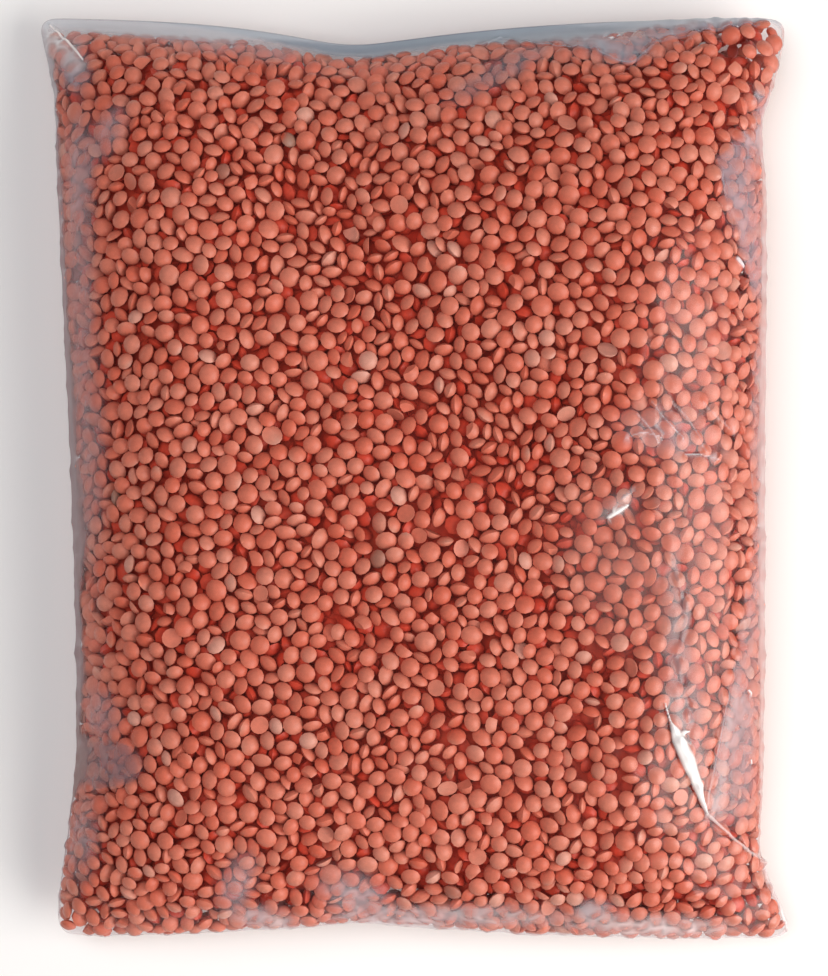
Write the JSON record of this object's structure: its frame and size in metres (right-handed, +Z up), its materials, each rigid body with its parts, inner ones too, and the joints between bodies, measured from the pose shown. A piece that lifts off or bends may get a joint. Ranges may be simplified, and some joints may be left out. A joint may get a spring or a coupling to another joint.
{
  "type": "clear bag of red lentils",
  "caption": "Sealed clear film bag filled with whole red lentils, a flat pillow with concave edges and four ears, lying on its back.",
  "frame": {"origin": "on the surface that the bag lies on, under the middle of its box", "axes": "+X across the bag, to the right as it is looked down on; +Y along the bag towards its top seal; +Z up, out of the side that shows"},
  "size_m": [0.1806, 0.2216, 0.0424],
  "materials": {
    "clear_film": "thin clear polythene film, glossy with a faint milky haze",
    "lentils": "smooth dull dry lentils, salmon orange",
    "lentil_bed": "deep red shade between packed lentils"
  },
  "bodies": {
    "root": {"filled_bag": "clear_film"}
  },
  "joints": []
}
